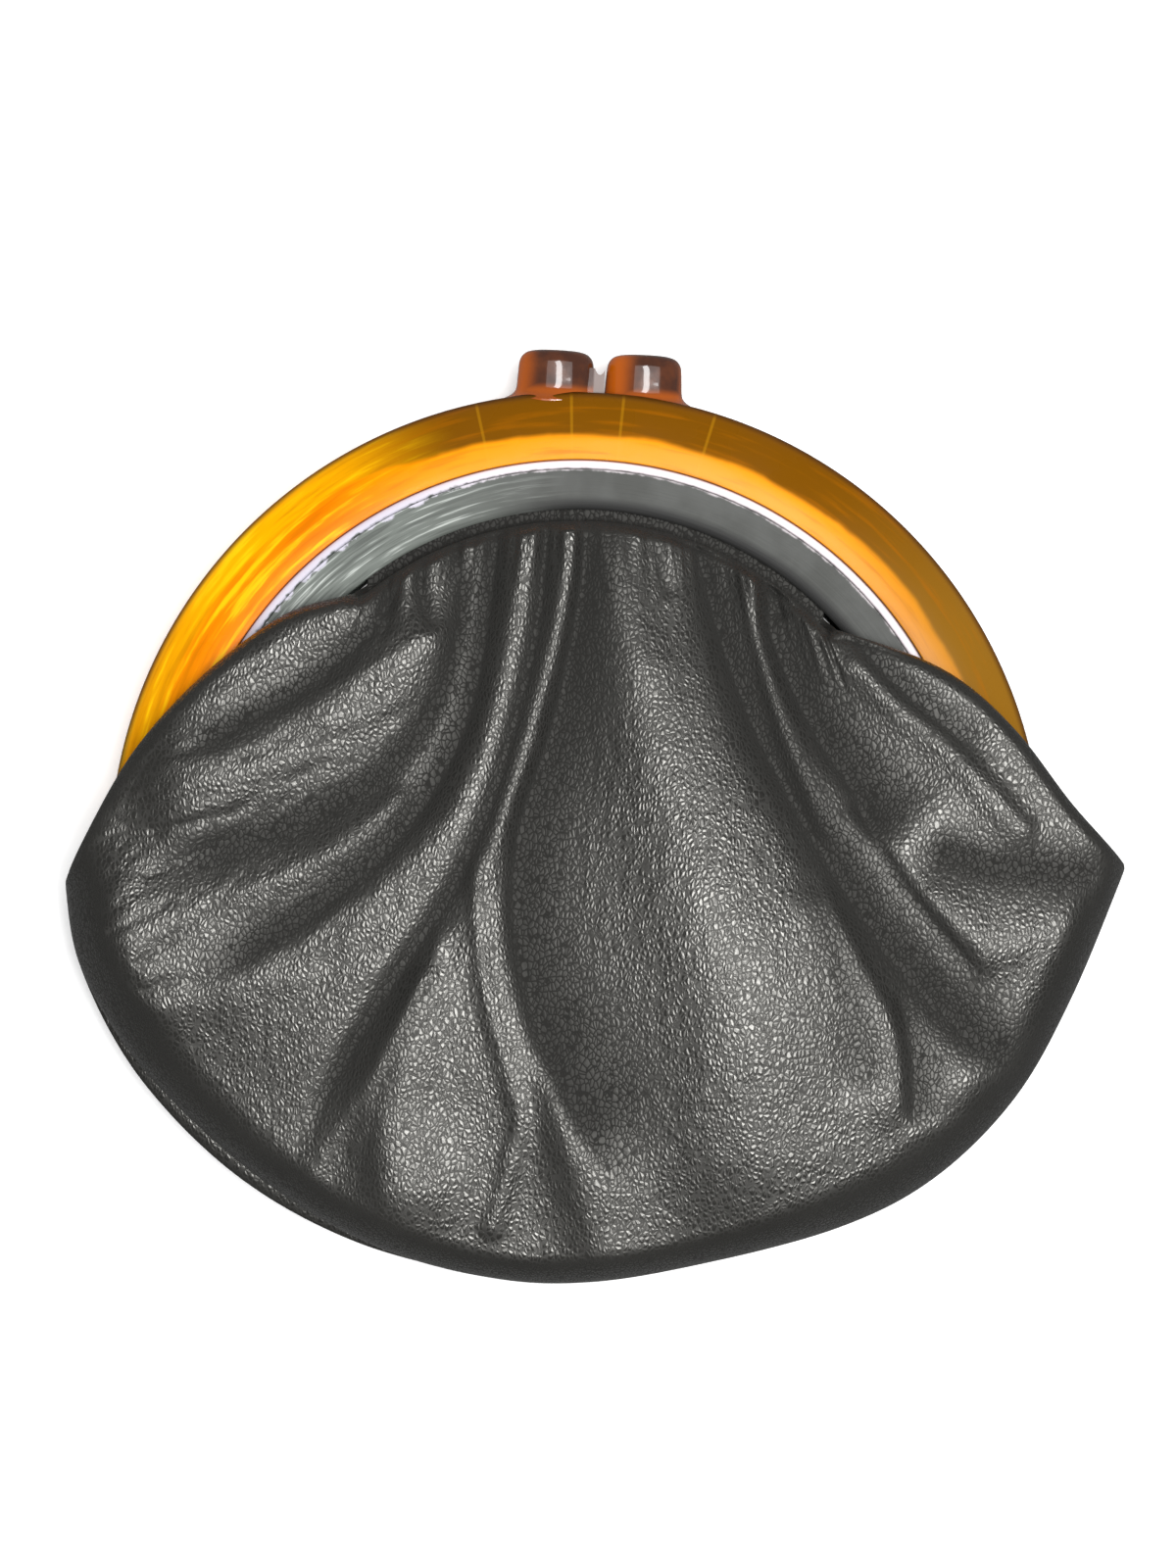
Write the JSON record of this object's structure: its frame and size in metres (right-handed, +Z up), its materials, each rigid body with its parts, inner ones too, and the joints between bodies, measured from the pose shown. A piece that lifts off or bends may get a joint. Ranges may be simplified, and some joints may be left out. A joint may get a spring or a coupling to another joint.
{
  "type": "frame coin purse",
  "caption": "Small gathered black leather coin purse on a half-round amber plastic frame with a grey metal channel, hinge pins and a kiss clasp, lying flat on its back.",
  "frame": {"origin": "centre of the arch's circle, on the flat of the back panel that the purse lies on", "axes": "+X to the right seen from the front, +Y from the bag's bottom towards the clasp, +Z up out of the front panel"},
  "size_m": [0.1307, 0.1151, 0.0254],
  "materials": {
    "amber": "polished amber-coloured plastic with scuffs",
    "channel": "grey satin metal with a bright bead",
    "clasp": "polished dark amber plastic",
    "pin": "plain turned",
    "leather": "soft grained black leather"
  },
  "bodies": {
    "root": {"front_arch": "amber", "back_arch": "amber", "front_channel": "channel", "back_channel": "channel", "front_clasp_post": "clasp", "back_clasp_post": "clasp", "left_hinge_pin": "pin", "right_hinge_pin": "pin", "front_panel": "leather", "back_panel": "leather"}
  },
  "joints": []
}
